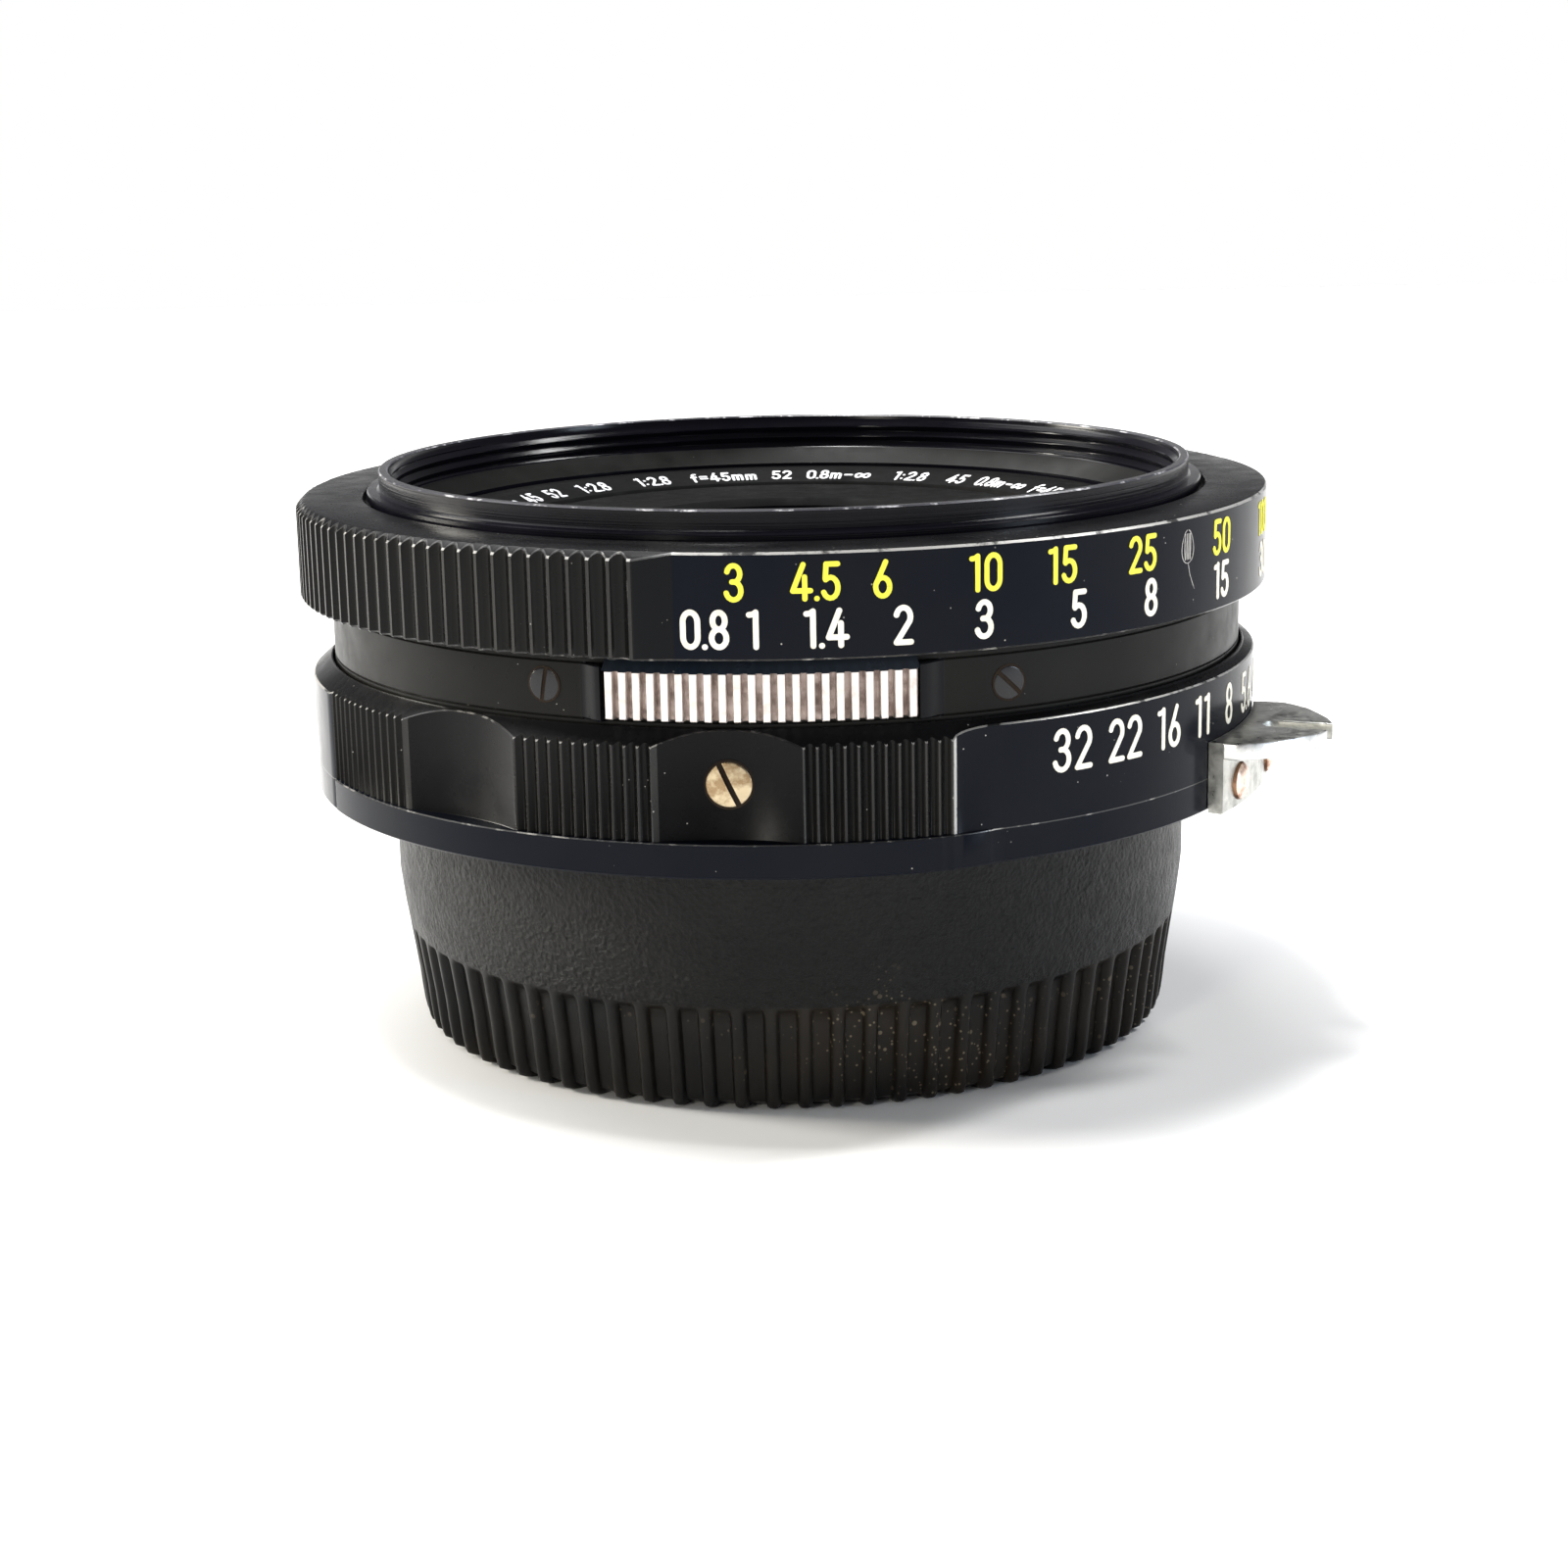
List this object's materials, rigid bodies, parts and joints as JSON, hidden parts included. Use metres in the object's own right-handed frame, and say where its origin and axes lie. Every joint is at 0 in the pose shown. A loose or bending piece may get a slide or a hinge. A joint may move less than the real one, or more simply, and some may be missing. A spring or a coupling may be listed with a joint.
{
  "type": "prime camera lens",
  "caption": "Short black metal lens with knurled focus ring, fluted aperture ring with a coupling fork, screw-in front thread, bayonet mount and a ribbed push-on rear cap.",
  "frame": {"origin": "centre of the rear cap's flat base, on the lens axis", "axes": "+Z along the lens axis out of the front glass; -Y towards the side whose knurls and silver grip face the viewer, +X to that viewer's right"},
  "size_m": [0.0666, 0.0635, 0.0369],
  "materials": {
    "cap_plastic": "moulded black plastic, satin with a fine leather grain, dusty in the ribs",
    "mount_chrome": "chromed brass, fine turned lines, light wear",
    "screw_nickel": "nickel plated, stained",
    "screw_black": "blackened steel, bright at the slot",
    "matt_black": "matt anti-reflection black",
    "grey_alloy": "polished aluminium with a rubbed edge",
    "spring_steel": "bright spring steel",
    "barrel_black": "dark grey matt anodising",
    "bright_alloy": "bright anodised, brown in the grooves",
    "brass": "turned brass",
    "aperture_black": "satin black anodising worn bright on the edges",
    "copper": "copper coloured rivet",
    "focus_black": "satin black anodising worn bright on the edges",
    "filter_black": "satin black anodising with a rubbed rim",
    "coated_glass": "coated optical glass",
    "blade_steel": "blued steel"
  },
  "bodies": {
    "barrel": {"fixed_barrel": "barrel_black", "mounting_grip_1": "bright_alloy", "mounting_grip_2": "bright_alloy", "barrel_screw_1": "screw_black", "barrel_screw_2": "screw_black", "barrel_screw_3": "screw_black", "barrel_screw_4": "screw_black", "bayonet_mount": "mount_chrome", "mount_screw_1": "screw_nickel", "mount_screw_2": "screw_nickel", "mount_screw_3": "screw_nickel", "mount_screw_4": "screw_nickel", "mount_screw_5": "screw_nickel", "helicoid_key_1": "brass", "helicoid_key_2": "brass", "click_ball": "spring_steel", "click_spring": "spring_steel", "light_baffle": "matt_black", "stop_down_spring": "spring_steel"},
    "aperture_ring": {"aperture_ring": "aperture_black", "aperture_ring_screw": "screw_nickel", "coupling_fork": "grey_alloy", "fork_rivet_1": "copper", "fork_rivet_2": "copper"},
    "lens_unit": {"lens_barrel": "brass", "filter_ring": "filter_black", "name_ring": "matt_black", "front_cell": "matt_black", "front_element": "coated_glass", "element_spacer": "matt_black", "second_element": "coated_glass", "diaphragm_housing": "matt_black", "rear_cell": "matt_black", "rear_doublet_front": "coated_glass", "rear_doublet_back": "coated_glass", "rear_retaining_ring": "matt_black"},
    "focus_ring": {"focus_ring": "focus_black", "focus_helicoid": "brass", "focus_ring_screw_1": "screw_nickel", "focus_ring_screw_2": "screw_nickel", "focus_ring_screw_3": "screw_nickel"},
    "iris_drive": {"iris_drive_ring": "brass"},
    "stop_down_lever": {"stop_down_lever": "grey_alloy"},
    "rear_cap": {"rear_cap": "cap_plastic"},
    "blade_1": {"iris_blade_1": "blade_steel"},
    "blade_2": {"iris_blade_2": "blade_steel"},
    "blade_3": {"iris_blade_3": "blade_steel"},
    "blade_4": {"iris_blade_4": "blade_steel"},
    "blade_5": {"iris_blade_5": "blade_steel"},
    "blade_6": {"iris_blade_6": "blade_steel"},
    "blade_7": {"iris_blade_7": "blade_steel"}
  },
  "joints": [
    {"name": "lens_travel", "type": "slide", "parent": "barrel", "child": "lens_unit", "axis": [0, 0, 1], "range_m": [0, 0.0029]},
    {"name": "focus_turn", "type": "hinge", "parent": "lens_unit", "child": "focus_ring", "pos_m": [0, 0, 0.032], "axis": [0, 0, 1], "range_deg": [0, 94]},
    {"name": "aperture_turn", "type": "hinge", "parent": "barrel", "child": "aperture_ring", "pos_m": [0, 0, 0.0206], "axis": [0, 0, 1], "range_deg": [0, 53.6]},
    {"name": "iris_drive_turn", "type": "hinge", "parent": "lens_unit", "child": "iris_drive", "pos_m": [0, 0, 0.0259], "axis": [0, 0, 1], "range_deg": [0, 20.1]},
    {"name": "stop_down_turn", "type": "hinge", "parent": "barrel", "child": "stop_down_lever", "pos_m": [0, 0, 0.0136], "axis": [0, 0, 1], "range_deg": [0, 22], "stiffness_Nm_per_rad": 0.004, "springref_deg": -11.46},
    {"name": "rear_cap_pull", "type": "slide", "parent": "barrel", "child": "rear_cap", "axis": [0, 0, 1], "range_m": [-0.03, 0]},
    {"name": "blade_1_turn", "type": "hinge", "parent": "lens_unit", "child": "blade_1", "pos_m": [0.00075, -0.01428, 0.0234], "axis": [0, 0, 1], "range_deg": [0, 26.8]},
    {"name": "blade_2_turn", "type": "hinge", "parent": "lens_unit", "child": "blade_2", "pos_m": [0.01163, -0.00832, 0.0237], "axis": [0, 0, 1], "range_deg": [0, 26.8]},
    {"name": "blade_3_turn", "type": "hinge", "parent": "lens_unit", "child": "blade_3", "pos_m": [0.01376, 0.00391, 0.024], "axis": [0, 0, 1], "range_deg": [0, 26.8]},
    {"name": "blade_4_turn", "type": "hinge", "parent": "lens_unit", "child": "blade_4", "pos_m": [0.00552, 0.01319, 0.0243], "axis": [0, 0, 1], "range_deg": [0, 26.8]},
    {"name": "blade_5_turn", "type": "hinge", "parent": "lens_unit", "child": "blade_5", "pos_m": [-0.00687, 0.01254, 0.0246], "axis": [0, 0, 1], "range_deg": [0, 26.8]},
    {"name": "blade_6_turn", "type": "hinge", "parent": "lens_unit", "child": "blade_6", "pos_m": [-0.01409, 0.00245, 0.0249], "axis": [0, 0, 1], "range_deg": [0, 26.8]},
    {"name": "blade_7_turn", "type": "hinge", "parent": "lens_unit", "child": "blade_7", "pos_m": [-0.0107, -0.00949, 0.0252], "axis": [0, 0, 1], "range_deg": [0, 26.8]}
  ],
  "couplings": [
    {"joint": "lens_travel", "follows": "focus_turn", "m_per_rad": 0.0017676},
    {"joint": "iris_drive_turn", "follows": "aperture_turn", "ratio": 0.37313},
    {"joint": "blade_1_turn", "follows": "aperture_turn", "ratio": 0.49813},
    {"joint": "blade_2_turn", "follows": "aperture_turn", "ratio": 0.49813},
    {"joint": "blade_3_turn", "follows": "aperture_turn", "ratio": 0.49813},
    {"joint": "blade_4_turn", "follows": "aperture_turn", "ratio": 0.49813},
    {"joint": "blade_5_turn", "follows": "aperture_turn", "ratio": 0.49813},
    {"joint": "blade_6_turn", "follows": "aperture_turn", "ratio": 0.49813},
    {"joint": "blade_7_turn", "follows": "aperture_turn", "ratio": 0.49813}
  ]
}
